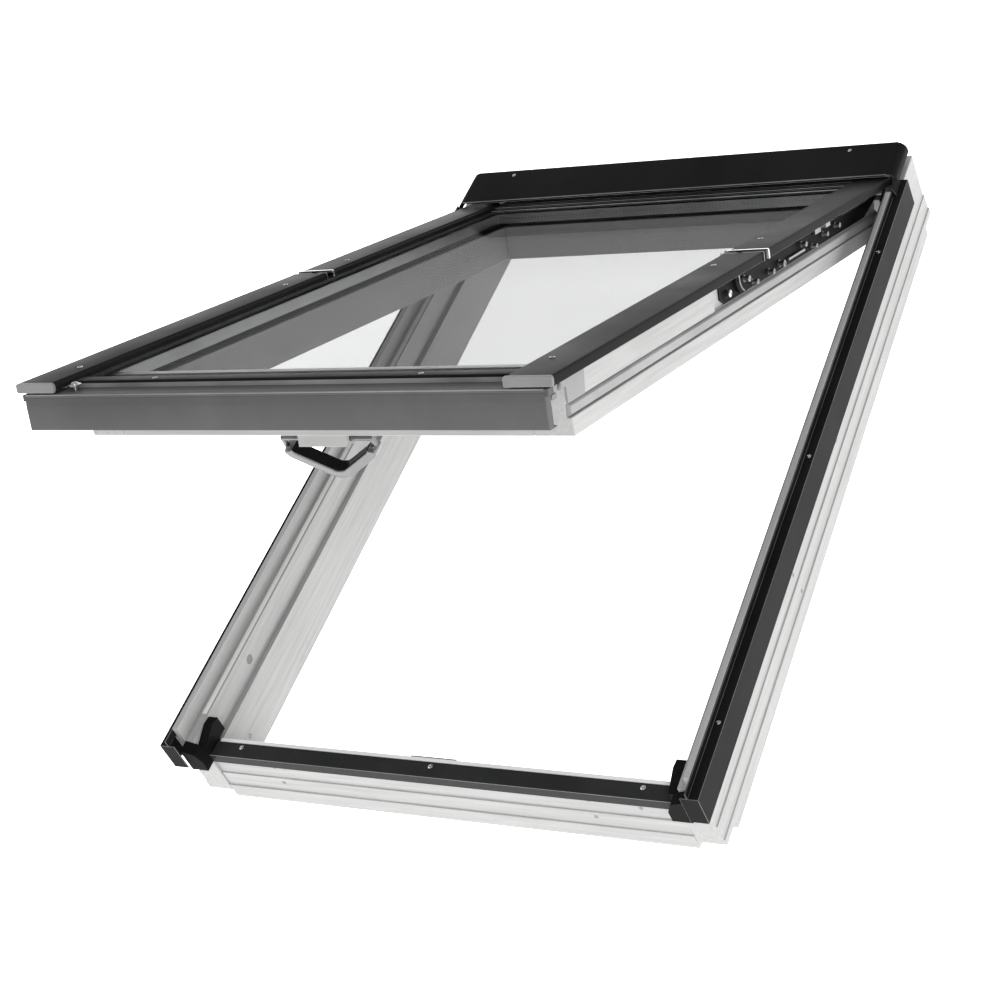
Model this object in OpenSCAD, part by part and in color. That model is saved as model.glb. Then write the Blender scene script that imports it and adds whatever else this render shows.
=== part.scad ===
// Dual-opening roof window: the sash is hung from the top on two lifting arms and also
// turns about a centre pivot at the lower ends of those arms.
// The window lies on its room-side face. X runs across, +Y up the roof slope and +Z outwards.
// The origin is the middle of the room-side face of the sill, at the frame's lower end.

/* [Frame] */
// Overall width of the timber frame
frame_w = 780; // [540:10:1140]
// Overall length of the timber frame, up the slope
frame_h = 1180; // [980:10:1400]
// Level of the jamb covers' top above the room-side face
cover_top_z = 138; // [134:1:150]
// Thickness of a jamb across the window, at the room side
jamb_t = 40; // [36:1:50]
// Thickness of the head rail, up the slope
head_t = 44; // [40:1:52]
// Depth of the sill at its outer part, up the slope
sill_t = 26; // [22:1:26]
// Depth of the sill's room-side foot, up the slope
sill_foot_t = 44; // [38:1:46]
// Notch in the room-side layer at each corner
corner_notch = 35; // [20:1:40]
// Thickness of the room-side layer that is notched
base_layer_t = 14; // [8:1:20]
// Width of each small step in the outer sides
side_step = 2; // [1:0.5:3]

/* [Opening] */
// Angle of the sash from closed, as it stands
open_angle = 29; // [0:1:30]
// Distance of the top hinge axis below the frame's upper end
hinge_from_top = 64; // [58:1:70]
// Level of the top hinge axis above the room-side face
hinge_z = 118; // [116:1:122]
// Distance of the centre pivot below the top hinge axis
pivot_v = 548; // [440:1:660]

/* [Sash] */
// Running gap between the sash stile and the frame jamb
sash_gap = 10; // [8:1:14]
// Depth of the sash timber below the hinge axis
sash_depth = 72; // [66:1:76]
// Width of a stile across its room side
stile_w = 50; // [44:1:60]
// Level of the sash covers' top above the hinge axis
sash_cover_top = 20; // [19:1:24]
// Depth of the sash covers' outer flange
sash_flange = 12; // [10:1:12]
// Width of a sash side cover
side_cover_w = 59; // [54:1:64]
// Overhang of the sash covers past the frame's lower end
sash_overhang = 52; // [46:1:60]
// Depth of the bottom cladding's front face
cladding_h = 45; // [40:1:50]

/* [Glazing] */
// Thickness of each pane
pane_t = 4; // [3:0.5:6]
// Space between the two panes
pane_space = 16; // [12:1:18]
// Level of the outer pane's face above the hinge axis
glass_top = 9; // [7:1:11]

/* [Sheet metal and hardware] */
// Thickness of the cover sheet
sheet = 1.5; // [1:0.1:2]
// Thickness of a lifting arm's plate
arm_t = 4; // [3:0.5:5]
// Radius of the top hinge pins
hinge_pin_r = 4; // [3:0.5:5]
// Radius of the centre pivot pins
pivot_pin_r = 2.5; // [2:0.1:3]
// Radial clearance of the pins in their bores
pin_clear = 0.05; // [0.02:0.01:0.1]
// Width of the handle's bow
handle_w = 132; // [110:2:150]
// Drop of the handle's bow below its axis
handle_drop = 60; // [48:1:66]

/* [Hidden] */
$fn = 48;

// frame, measured from the window's middle line
half_w = frame_w / 2;
jamb_in = half_w - jamb_t;                 // inner face of a jamb at the room side
jamb_mid = jamb_in + 8;                    // inner face above the step
step_z = cover_top_z - 56;                 // level of the step in the inner face
ledge_z = cover_top_z - 14;                // ledge that the sash cover closes over
layer_z = base_layer_t + 12;               // top of the proud lower layer
layer2_z = layer_z + 26;                   // top of the middle layer
wood_top_z = cover_top_z - 8;
rim_in = half_w - 17;                      // upstanding rim, inner face
rim_t = 8;
rim_z = cover_top_z + 11;
sill_z = cover_top_z - 43;                 // top of the sill timber
hinge_y = frame_h - hinge_from_top;

// jamb covers
cover_out = half_w + 6;
cover_flange = 47;
cover_low_y = -22;                         // lower end, past the sill
cover_high_y = frame_h - 69;               // upper end, under the head cover
cap_in = half_w - 18;                      // inner edge of the lower end cap

// head cover
hood_z = cover_top_z + 19;
hood_low_y = hinge_y - 14;
hood_high_y = frame_h;
hood_flat = half_w - 20;
hood_out = half_w - 2;
hood_leg = 30;

// sash, in the hinge's own directions: v runs down the slope and n outwards
stile_out = jamb_in - sash_gap;            // outer face of a stile at the room side
stile_mid = stile_out - 2;                 // outer face above the gasket groove
stile_top_n = sash_cover_top - sash_flange;
recess_x = stile_out - 9;                  // outer face where the arm lies
stile_in = stile_out - stile_w;
groove_n0 = -sash_depth + 22;              // gasket groove, lower and upper edges
groove_n1 = -sash_depth + 38;
groove_x = stile_out - 6;
sash_low_v = hinge_y - sill_t - 4.5;       // lower end of the sash timber
end_bevel = 7;                             // the room side of that end stands back by this much
sash_high_v = -14;                         // upper end, above the hinge axis
rail_low_w = 74;
rail_high_w = 56;
recess_v = pivot_v + 110;                  // lower end of the arm's recess
cover_low_v = hinge_y + sash_overhang;     // lower end of the side covers
cover_high_v = 6;
end_cap_t = 5;                             // thickness of the covers' end caps
cover_edge = rim_in - 4;                   // outer edge of the sash covers
cover_in = cover_edge - side_cover_w;
clad_half = cover_edge - 11;
clad_top_n = 5.5;
nose_n = sill_z - hinge_z + 9.5;           // underside of the bottom rail's nose
glass_half = stile_in + 28;
glass_low_v = sash_low_v - 10;             // lower edge of the inner pane
outer_low_v = cover_low_v - 44;            // the outer pane reaches further, over the rail
glass_high_v = 24;
pane2_n = glass_top - pane_t - pane_space; // outer face of the inner pane
seat_n = pane2_n - pane_t - 2;             // timber seat under the glass

// centre pivot, a little under the top of the covers
pivot_n = sash_cover_top - 2;
eye_r = pivot_pin_r + 1.7;
joint_up = 11.5;                           // from the pivot to the upper cover's end
joint_down = 5.5;                          // from the pivot to the lower cover's end
arm_x = recess_x + 3;                      // inner face of an arm's plate
arm_low_n = -31;
arm_end_r = (pivot_n - 3.5 - arm_low_n) / 2;

// screws of the covers, down the slope from the hinge axis
upper_screw_v = [pivot_v - 84];
lower_screw_v = [pivot_v + 82, cover_low_v - 78];
cover_screw_x = cover_edge - 38;

// handle
handle_v = sash_low_v - 26.5;
handle_n = -sash_depth - 8;
handle_axle_r = 3.5;
handle_lean = 29;                          // angle of the bow from square to the sash, up the slope
handle_band = 20;                          // width of the bow's flat strip

function mirrored(pts) = [for (p = pts) [-p[0], p[1]]];

module along_x(x0, x1) { translate([x0, 0, 0]) rotate([90, 0, 90]) linear_extrude(x1 - x0) children(); }
module along_y(y0, y1) { translate([0, y1, 0]) rotate([90, 0, 0]) linear_extrude(y1 - y0) children(); }
// a 2-D rectangle between two corners
module rect(x0, y0, x1, y1) { translate([x0, y0]) square([x1 - x0, y1 - y0]); }
module block(a, b) { translate(a) cube(b - a); }
module other_side() { mirror([1, 0, 0]) children(); }
module both_sides() { children(); mirror([1, 0, 0]) children(); }
// carries what is drawn about the hinge axis (y = -v, z = n) to where the open sash stands
module hung() { translate([0, hinge_y, hinge_z]) rotate([-open_angle, 0, 0]) children(); }
module bar_x(x0, x1, r) { translate([x0, 0, 0]) rotate([0, 90, 0]) cylinder(h = x1 - x0, r = r); }
// a low domed screw head standing on the level z = 0
module screw_head(r = 4, h = 1.6) {
  rotate_extrude() polygon([[0, 0], [r, 0], [r, h * 0.35], [r * 0.75, h * 0.8], [r * 0.4, h], [0, h]]);
}

// frame timber
module jamb_outline() {
  polygon([[jamb_in, base_layer_t], [half_w, base_layer_t], [half_w, layer_z],
    [half_w - side_step, layer_z], [half_w - side_step, layer2_z],
    [half_w - 2 * side_step, layer2_z], [half_w - 2 * side_step, wood_top_z],
    [rim_in + rim_t, wood_top_z], [rim_in + rim_t, rim_z], [rim_in, rim_z],
    [rim_in, ledge_z], [jamb_mid, ledge_z], [jamb_mid, step_z], [jamb_in, step_z]]);
}
module jamb() {
  difference() {
    union() {
      along_y(0, frame_h) jamb_outline();
      along_y(corner_notch, frame_h - corner_notch) rect(jamb_in, 0, half_w, base_layer_t);
    }
    // the rim stops short under the head cover
    block([rim_in - 1, hood_low_y - hood_leg - 2, wood_top_z],
      [rim_in + rim_t + 1, frame_h + 1, rim_z + 1]);
    // seats of the grey plugs in the inner and outer faces
    translate([0, 160, step_z + 20]) bar_x(jamb_mid - 1, jamb_mid + 4, 7 + pin_clear);
    translate([0, frame_h * 0.53, layer2_z + 24]) bar_x(half_w - 8, half_w + 1, 7 + pin_clear);
  }
}
module frame_right_jamb() { color("gainsboro") jamb(); }
module frame_left_jamb() { color("gainsboro") other_side() jamb(); }
module frame_head_rail() {
  color("gainsboro") along_x(-jamb_in, jamb_in)
    polygon([[frame_h, 0], [frame_h, layer_z], [frame_h - side_step, layer_z],
      [frame_h - side_step, layer2_z], [frame_h - 2 * side_step, layer2_z],
      [frame_h - 2 * side_step, wood_top_z], [frame_h - head_t + 14, wood_top_z],
      [frame_h - head_t + 14, step_z], [frame_h - head_t, step_z], [frame_h - head_t, 0]]);
}
module frame_sill_rail() {
  color("gainsboro") along_x(-jamb_in, jamb_in)
    polygon([[0, 0], [0, layer_z], [side_step, layer_z], [side_step, layer2_z],
      [2 * side_step, layer2_z], [2 * side_step, sill_z], [sill_t, sill_z],
      [sill_t, layer_z], [sill_foot_t, layer_z], [sill_foot_t, 0]]);
}

// frame covers
module jamb_cover() {
  along_y(cover_low_y, cover_high_y) {
    rect(cover_out - sheet, cover_top_z - cover_flange, cover_out, cover_top_z);
    rect(rim_in + rim_t, cover_top_z - sheet, cover_out, cover_top_z);
  }
  along_y(cover_low_y, hood_low_y - hood_leg - 2) {
    rect(rim_in + rim_t, cover_top_z - sheet, rim_in + rim_t + sheet, rim_z - 1);
  }
  along_y(cover_low_y, cover_low_y + sheet) rect(cap_in, cover_top_z - cover_flange, cover_out, cover_top_z);
}
module right_jamb_cover() { color("#3c3c3c") jamb_cover(); }
module left_jamb_cover() { color("#3c3c3c") other_side() jamb_cover(); }
module sill_cover() {
  color("#4b4b4b") {
    along_x(-jamb_in, jamb_in) {
      rect(-sheet, sill_z, sill_t + sheet, sill_z + sheet);
      rect(sill_t, sill_z - 8, sill_t + sheet, sill_z);
    }
    along_x(-cap_in, cap_in) rect(-sheet, sill_z - 14, 0, sill_z + sheet);
  }
}
module head_cover() {
  band = [[hood_out, cover_top_z], [hood_out, cover_top_z + sheet], [hood_flat, hood_z], [-hood_flat, hood_z],
    [-hood_out, cover_top_z + sheet], [-hood_out, cover_top_z], [-hood_out + sheet, cover_top_z],
    [-hood_flat + 1, hood_z - sheet], [hood_flat - 1, hood_z - sheet], [hood_out - sheet, cover_top_z]];
  color("#3a3a3a") {
    along_y(hood_low_y, hood_high_y) polygon(band);
    both_sides() along_y(hood_low_y - hood_leg, hood_low_y)
      polygon([[rim_in + 8, cover_top_z], [hood_out, cover_top_z], [hood_out, cover_top_z + sheet],
        [rim_in + 9.5, cover_top_z + 14], [rim_in + 8, cover_top_z + 14]]);
    along_x(-hood_flat, hood_flat) {
      rect(hood_low_y, hood_z - sheet - 1.7, hood_low_y + sheet, hood_z - sheet);
      rect(hood_high_y, wood_top_z - 10, hood_high_y + sheet, hood_z);
    }
    along_x(-jamb_in, jamb_in)
      rect(hood_high_y - 2 * side_step, wood_top_z - 10, hood_high_y, wood_top_z - 10 + sheet);
  }
}
module corner_block() {
  along_x(jamb_in - 7, jamb_mid - 0.5)
    polygon([[0, sill_z + sheet], [sill_t + 18, sill_z + sheet], [sill_t + 18, ledge_z - 3], [30, ledge_z - 1],
      [0, ledge_z - 12]]);
  along_y(cover_low_y + sheet + 2.5, 0)
    polygon([[jamb_in - 5, sill_z - 12], [cap_in, sill_z - 12], [cap_in, ledge_z - 1],
      [jamb_in + 2, ledge_z - 8], [jamb_in - 5, sill_z + 6]]);
}
module right_corner_block() { color("#151515") difference() { corner_block(); sill_flange_room(); } }
module left_corner_block() { color("#151515") other_side() difference() { corner_block(); sill_flange_room(); } }
// room for the sill cover's front flange, where it passes the corner block
module sill_flange_room() {
  block([0, -sheet - 0.3, sill_z - 14], [cap_in + 0.3, 0.01, sill_z + sheet + 0.3]);
}
module frame_gasket() {
  color("#d8d8d8") both_sides() along_y(46, hood_low_y - hood_leg - 4)
    polygon([[jamb_mid + 3, ledge_z], [rim_in - 4, ledge_z], [rim_in - 5, ledge_z + 1.1],
      [rim_in - 8, ledge_z + 1.3], [jamb_mid + 5, ledge_z + 0.8]]);
  color("#d8d8d8") along_x(-jamb_in + 12, jamb_in - 12)
    rect(sill_t - 4, sill_z + sheet, sill_t + 1, sill_z + sheet + 2);
}
module hinge_bracket() {
  block([jamb_mid - 4, hinge_y - 34, ledge_z - 34], [jamb_mid, hinge_y + 24, ledge_z - 2]);
  translate([0, hinge_y, hinge_z]) bar_x(arm_x + arm_t + 0.5, jamb_mid - 4, 8);
}
module right_hinge_bracket() { color("#8a8c8e") hinge_bracket(); }
module left_hinge_bracket() { color("#8a8c8e") other_side() hinge_bracket(); }
module hinge_pins() {
  color("silver") both_sides() translate([0, hinge_y, hinge_z])
    bar_x(arm_x - 0.5, arm_x + arm_t + 0.5, hinge_pin_r);
}
module latch_keeper() {
  color("#c8c8c8") difference() {
    block([-34, sill_t + sheet, sill_z - 26], [34, sill_t + 2 * sheet, sill_z + 3]);
    block([-22, sill_t, sill_z - 18], [22, sill_t + sheet + 5, sill_z - 8]);
  }
}
module frame_plugs() {
  color("#8f8f8f") both_sides() {
    translate([0, 160, step_z + 20]) bar_x(jamb_mid, jamb_mid + 4, 7);
    translate([0, frame_h * 0.53, layer2_z + 24]) bar_x(half_w - 8, half_w - 2 * side_step + 0.4, 7);
  }
}
module frame_cover_screws() {
  color("silver") {
    for (x = [-300, 0, 300] * jamb_in / 350) translate([x, sill_t * 0.6, sill_z + sheet]) screw_head(3.6);
    for (y = [90, frame_h * 0.45, frame_h * 0.8])
      both_sides() translate([(rim_in + rim_t + cover_out) / 2, y, cover_top_z]) screw_head(3.2);
    for (x = [-hood_flat * 0.8, hood_flat * 0.8])
      translate([x, hood_high_y - 12, hood_z]) screw_head(3.2);
  }
}

// lifting arms, with what rides on them
module arm_outline() {
  arm_high_n = pivot_n - 3.5;
  difference() {
    union() {
      circle(r = 13);
      polygon([[0, 13], [-40, arm_high_n], [-pivot_v - 10, arm_high_n], [-pivot_v - 10, arm_low_n],
        [-60, arm_low_n], [0, -13]]);
      translate([-pivot_v - 10, (arm_high_n + arm_low_n) / 2]) circle(r = arm_end_r);
      translate([-pivot_v, pivot_n]) circle(r = eye_r);
      rect(-pivot_v - eye_r, arm_high_n - 4, -pivot_v + eye_r, pivot_n);
    }
    circle(r = hinge_pin_r + pin_clear);
    translate([-pivot_v, pivot_n]) circle(r = pivot_pin_r + pin_clear);
  }
}
module lifting_arm() {
  hung() {
    along_x(arm_x, arm_x + arm_t) arm_outline();
    // folded shelf that carries the upper side cover
    block([arm_x + arm_t, -(pivot_v - 16), sash_cover_top - sheet - 2],
      [cover_edge - sheet - 4, -42, sash_cover_top - sheet]);
  }
}
module right_lifting_arm() { color("#1c1c1c") lifting_arm(); }
module left_lifting_arm() { color("#1c1c1c") other_side() lifting_arm(); }
module cover_outline() {
  rect(cover_in, sash_cover_top - sheet, cover_edge, sash_cover_top);
  rect(cover_edge - sheet, sash_cover_top - sash_flange, cover_edge, sash_cover_top);
  rect(cover_in, glass_top + 1, cover_in + sheet, sash_cover_top);
}
module upper_cover() { hung() along_y(-(pivot_v - joint_up), -cover_high_v) cover_outline(); }
module right_upper_cover() { color("#333333") upper_cover(); }
module left_upper_cover() { color("#333333") other_side() upper_cover(); }
module cover_edge_clips() {
  color("#d0d0d0") both_sides() hung() along_y(-(pivot_v - 6.5), -(pivot_v - joint_up)) {
    rect(cover_in, sash_cover_top - sheet - 1, cover_edge, sash_cover_top - 1);
    rect(cover_edge - sheet, sash_cover_top - sash_flange, cover_edge, sash_cover_top - 1);
  }
}
// round studs of the lift mechanism: distance down the arm, level and radius of each
stud_places = [[pivot_v + 8, -14, 4.5], [pivot_v - 20, -24, 3.5], [pivot_v - 80, -24, 4], [pivot_v - 121, -22, 5],
  [pivot_v - 210, -14, 4], [pivot_v - 251, -25, 3.5], [pivot_v - 300, -18, 3.5], [pivot_v - 353, -16, 4]];
module arm_studs() {
  color("silver") both_sides() hung() for (s = stud_places)
    translate([0, -s[0], s[1]]) {
      bar_x(arm_x + arm_t, arm_x + arm_t + 8, s[2] * 0.6);
      bar_x(arm_x + arm_t + 8, arm_x + arm_t + 10, s[2]);
    }
}
spring_v = pivot_v - 330;                  // lower end of the spring barrel
module lift_springs() {
  color("#303030") both_sides() hung() translate([arm_x + arm_t + 6, -60, 0]) rotate([90, 0, 0]) {
    cylinder(h = spring_v - 60, r = 6);
    translate([0, 0, spring_v - 60]) cylinder(h = 24, r = 2.5);
  }
}
module arm_links() {
  color("#a0a2a4") both_sides() hung() {
    block([arm_x + arm_t, -(spring_v + 66), -12], [arm_x + arm_t + 4, -(spring_v + 42), 12]);
    block([arm_x + arm_t, -(spring_v + 42), -7], [arm_x + arm_t + 12, -(spring_v + 24), 7]);
    translate([arm_x + arm_t + 2.5, -(pivot_v - 215), -23]) rotate([90, 0, 0]) cylinder(h = 64, r = 2.5);
  }
}
module upper_cover_screws() {
  color("silver") both_sides() hung() for (v = upper_screw_v)
    translate([cover_screw_x, -v, sash_cover_top]) screw_head(3.6);
}

// sash timber
module stile_outline(recessed) {
  top_x = recessed ? recess_x : stile_mid;
  polygon([[stile_in, -sash_depth], [stile_out, -sash_depth], [stile_out, groove_n0],
    [groove_x, groove_n0], [groove_x, groove_n1], [top_x, groove_n1], [top_x, stile_top_n],
    [glass_half + 4, stile_top_n], [glass_half + 4, seat_n], [stile_in, seat_n]]);
}
// the sash's lower end is cut back towards the room, so that it swings past the sill
module lower_end_bevel() {
  along_x(-half_w, half_w)
    polygon([[-sash_low_v - 1, nose_n], [-sash_low_v, nose_n], [-sash_low_v + end_bevel, -sash_depth],
      [-sash_low_v + end_bevel, -sash_depth - 1], [-sash_low_v - 1, -sash_depth - 1]]);
}
module stile() {
  hung() difference() {
    union() {
      along_y(-recess_v, -sash_high_v) stile_outline(true);
      along_y(-sash_low_v, -recess_v) stile_outline(false);
    }
    lower_end_bevel();
  }
}
module sash_right_stile() { color("whitesmoke") stile(); }
module sash_left_stile() { color("whitesmoke") other_side() stile(); }
module sash_top_rail() {
  color("whitesmoke") hung() along_x(-stile_in, stile_in)
    polygon([[-sash_high_v, -sash_depth], [-sash_high_v, stile_top_n], [-glass_high_v + 4, stile_top_n],
      [-glass_high_v + 4, seat_n], [-sash_high_v - rail_high_w, seat_n],
      [-sash_high_v - rail_high_w, -sash_depth]]);
}
module sash_bottom_rail() {
  nose_start = -glass_low_v - 1;
  nose_end = -cover_low_v + 32;
  color("whitesmoke") hung() {
    along_x(-stile_in, stile_in)
      polygon([[nose_end, clad_top_n - sheet], [nose_end, nose_n], [-sash_low_v, nose_n],
        [-sash_low_v + end_bevel, -sash_depth], [-sash_low_v + rail_low_w, -sash_depth],
        [-sash_low_v + rail_low_w, seat_n], [nose_start, seat_n], [nose_start, clad_top_n - sheet]]);
    along_x(-stile_mid + 18, stile_mid - 18) rect(nose_end, nose_n, nose_start, clad_top_n - sheet);
  }
}

// glazing
module pane(low_v, n) {
  hung() block([-glass_half, -low_v, n - pane_t], [glass_half, -glass_high_v, n]);
}
module outer_pane() { color("lightblue", 0.4) pane(outer_low_v, glass_top); }
module inner_pane() { color("lightblue", 0.4) pane(glass_low_v, pane2_n); }
spacer_w = 12;
module spacer_bar() {
  n0 = pane2_n;
  n1 = glass_top - pane_t;
  color("#909396") hung() {
    both_sides() block([glass_half - 6 - spacer_w, -glass_low_v + 6, n0], [glass_half - 6, -glass_high_v - 6, n1]);
    for (y = [-glass_low_v + 6, -glass_high_v - 6 - spacer_w])
      block([-glass_half + 6 + spacer_w, y, n0], [glass_half - 6 - spacer_w, y + spacer_w, n1]);
  }
}
module glazing_gasket() {
  color("#202020") hung() {
    both_sides() block([cover_in, -outer_low_v + 14, glass_top], [cover_in + 8, -glass_high_v - 4, glass_top + 1]);
    both_sides() block([stile_in + 2, -glass_low_v + 10, seat_n], [stile_in + 12, -glass_high_v - 4, seat_n + 2]);
  }
}

// sash covers
module lower_cover() {
  hung() along_y(-cover_low_v + end_cap_t, -(pivot_v + joint_down)) cover_outline();
}
module cover_end_cap() {
  low = sash_cover_top - sash_flange;
  hung() along_y(-cover_low_v, -cover_low_v + end_cap_t)
    polygon([[cover_in, low], [cover_edge - 3, low], [cover_edge, low + 3], [cover_edge, sash_cover_top - 4],
      [cover_edge - 4, sash_cover_top], [cover_in, sash_cover_top]]);
}
module right_end_cap() { color("#7a7a7a") cover_end_cap(); }
module left_end_cap() { color("#7a7a7a") other_side() cover_end_cap(); }
module right_lower_cover() { color("#333333") lower_cover(); }
module left_lower_cover() { color("#333333") other_side() lower_cover(); }
module bottom_cladding() {
  low_n = clad_top_n - cladding_h;
  color("#5f6161") hung() {
    along_x(-clad_half, clad_half) {
      // front face in two flats, with a shallow crease between them
      polygon([[-cover_low_v + 1.5, clad_top_n], [-cover_low_v, clad_top_n - 14], [-cover_low_v + 1, low_n],
        [-cover_low_v + 1 + sheet, low_n], [-cover_low_v + sheet, clad_top_n - 14],
        [-cover_low_v + 1.5 + sheet, clad_top_n]]);
      rect(-cover_low_v + 1.5, clad_top_n - sheet, -cover_low_v + 34, clad_top_n);
      rect(-cover_low_v + 1, low_n, -cover_low_v + 18, low_n + sheet);
    }
    both_sides() along_x(clad_half, clad_half + 4)
      rect(-cover_low_v + 1.5, clad_top_n - 8, -cover_low_v + 14, clad_top_n);
    both_sides() along_x(clad_half - sheet, clad_half)
      rect(-cover_low_v + 1 + sheet, low_n + sheet, -cover_low_v + 12, clad_top_n - sheet);
  }
}
module bottom_glass_cover() {
  front = -cover_low_v + 34.5;
  top_n = glass_top + 5;
  color("#3a3a3a") hung() along_x(-cover_in + 0.5, cover_in - 0.5) {
    rect(front, clad_top_n, front + sheet, top_n);
    rect(front, top_n - sheet, front + 21, top_n);
    rect(front + 21 - sheet, glass_top + 0.5, front + 21, top_n - sheet);
  }
}
module top_glass_cover() {
  color("#3a3a3a") hung() along_x(-cover_in + 0.5, cover_in - 0.5)
    polygon([[-sash_high_v, stile_top_n], [-sash_high_v, stile_top_n + 9], [-16, stile_top_n + 9],
      [-16, stile_top_n + 6], [-30, stile_top_n + 6], [-30, glass_top + 2.5], [-46, glass_top + 2.5],
      [-46, glass_top + 1], [-glass_high_v + 4, glass_top + 1], [-glass_high_v + 4, stile_top_n]]);
}
module end_block() {
  hung() along_y(-cover_low_v + 34.5, -sash_low_v) {
    rect(stile_mid - 17.5, nose_n, stile_mid, stile_top_n);
  }
  hung() along_x(stile_mid, stile_mid + 2.5)
    polygon([[-cover_low_v + 34.5, nose_n], [-cover_low_v + 34.5, stile_top_n],
      [-cover_low_v + 132, stile_top_n], [-cover_low_v + 126, groove_n1 + 1], [-sash_low_v, groove_n1 + 1],
      [-sash_low_v, nose_n]]);
}
module right_end_block() { color("#b8b8b8") end_block(); }
module left_end_block() { color("#b8b8b8") other_side() end_block(); }

// centre pivot and small pieces of the sash
module pivot_plate() {
  hung() {
    along_x(recess_x, recess_x + 2.5) {
      polygon([[-pivot_v - 80, -6], [-pivot_v - 80, -26], [-pivot_v - 66, -34], [-pivot_v + 14, -34],
        [-pivot_v + 14, 6], [-pivot_v - 30, 6]]);
      rect(-pivot_v - eye_r, 0, -pivot_v + eye_r, pivot_n);
      translate([-pivot_v, pivot_n]) circle(r = eye_r);
    }
    translate([0, -pivot_v, pivot_n]) bar_x(recess_x + 2, arm_x + arm_t + 0.5, pivot_pin_r);
    translate([0, -pivot_v - 58, -22]) bar_x(recess_x + 2, recess_x + 5, 5);
  }
}
module right_pivot_plate() { color("#55585a") pivot_plate(); }
module left_pivot_plate() { color("#55585a") other_side() pivot_plate(); }
module joint_seals() {
  color("#161616") both_sides() hung() {
    for (x = [[cover_in + sheet, recess_x - 2], [arm_x + arm_t + 3, cover_edge - sheet]])
      block([x[0], -(pivot_v + joint_down), glass_top + 1], [x[1], -pivot_v, sash_cover_top - sheet]);
  }
}
module sash_gasket() {
  color("#8c8c8c") both_sides() hung() along_y(-sash_low_v + 6, -sash_high_v - 6)
    translate([groove_x, (groove_n0 + groove_n1) / 2]) intersection() {
      circle(r = 7);
      rect(0, -8, 5.5, 8);
    }
}
module lock_case() {
  color("whitesmoke") hung() difference() {
    block([-34, -handle_v - 12, -sash_depth - 16], [34, -handle_v + 24, -sash_depth]);
    translate([0, -handle_v, handle_n]) bar_x(-35, 35, handle_axle_r + pin_clear);
  }
}
module sash_cover_screws() {
  color("silver") hung() {
    for (v = lower_screw_v) both_sides() translate([cover_screw_x, -v, sash_cover_top]) screw_head(3.6);
    for (x = [-0.6, 0.6] * cover_in) translate([x, -cover_low_v + 42, glass_top + 5]) screw_head(3.2, 1.4);
  }
}
module clip_screw() {
  color("silver") hung() translate([-cover_in + 14, -cover_low_v + 24, clad_top_n]) {
    cylinder(h = 5, r = 3);
    translate([0, 0, 5]) cylinder(h = 2.5, r = 8);
    translate([0, 0, 7.5]) screw_head(5, 3);
  }
}

// handle: a wide bow of flat strip on an axle that runs through the lock case
module handle_lever() {
  half = handle_w / 2;
  flat = 9;
  top = -10;
  bow = [[-half, top], [-half + 2, top - 10], [-flat, -handle_drop], [flat, -handle_drop], [half - 2, top - 10],
    [half, top], [half - 5, top], [half - 6, top - 7], [flat - 2, -handle_drop + 5.5],
    [-flat + 2, -handle_drop + 5.5], [-half + 6, top - 7], [-half + 5, top]];
  color("#b4b6b8") hung() translate([0, -handle_v, handle_n]) {
    rotate([handle_lean, 0, 0]) {
      along_y(-handle_band / 2, handle_band / 2) polygon(bow);
      both_sides() block([half - 5, -handle_axle_r, top], [half, handle_axle_r, 0]);
    }
    bar_x(-half, half, handle_axle_r);
  }
}

frame_left_jamb();
frame_right_jamb();
frame_head_rail();
frame_sill_rail();
left_jamb_cover();
right_jamb_cover();
sill_cover();
head_cover();
left_corner_block();
right_corner_block();
frame_gasket();
left_hinge_bracket();
right_hinge_bracket();
hinge_pins();
latch_keeper();
frame_plugs();
frame_cover_screws();
left_lifting_arm();
right_lifting_arm();
left_upper_cover();
right_upper_cover();
cover_edge_clips();
arm_studs();
lift_springs();
arm_links();
upper_cover_screws();
sash_left_stile();
sash_right_stile();
sash_top_rail();
sash_bottom_rail();
outer_pane();
inner_pane();
spacer_bar();
glazing_gasket();
left_lower_cover();
right_lower_cover();
left_end_cap();
right_end_cap();
bottom_cladding();
bottom_glass_cover();
top_glass_cover();
left_end_block();
right_end_block();
left_pivot_plate();
right_pivot_plate();
joint_seals();
sash_gasket();
lock_case();
sash_cover_screws();
clip_screw();
handle_lever();
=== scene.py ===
import math
import bpy
import bmesh
import numpy as np
from mathutils import Matrix, Vector


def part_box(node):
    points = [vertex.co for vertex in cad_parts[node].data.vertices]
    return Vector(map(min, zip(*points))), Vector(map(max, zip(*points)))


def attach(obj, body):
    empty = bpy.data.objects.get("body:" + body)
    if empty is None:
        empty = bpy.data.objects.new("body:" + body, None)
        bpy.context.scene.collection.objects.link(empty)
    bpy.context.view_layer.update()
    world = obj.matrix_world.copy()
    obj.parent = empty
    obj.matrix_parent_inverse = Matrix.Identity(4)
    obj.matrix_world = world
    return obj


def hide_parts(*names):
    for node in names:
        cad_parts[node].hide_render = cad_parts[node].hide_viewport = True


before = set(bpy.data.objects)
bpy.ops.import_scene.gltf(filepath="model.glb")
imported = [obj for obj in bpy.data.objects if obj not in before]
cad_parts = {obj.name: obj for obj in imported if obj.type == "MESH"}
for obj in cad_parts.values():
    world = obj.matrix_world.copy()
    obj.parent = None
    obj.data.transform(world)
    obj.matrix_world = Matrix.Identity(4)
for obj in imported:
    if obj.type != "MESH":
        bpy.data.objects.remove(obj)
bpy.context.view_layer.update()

scene = bpy.context.scene
scene.view_settings.view_transform = "Standard"

# the top hinge axis carries everything that is drawn on the open sash
pinLow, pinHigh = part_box("hinge_pins")
hinge = {"y": (pinLow[1] + pinHigh[1]) * 500, "z": (pinLow[2] + pinHigh[2]) * 500, "open": math.radians(29)}


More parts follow.
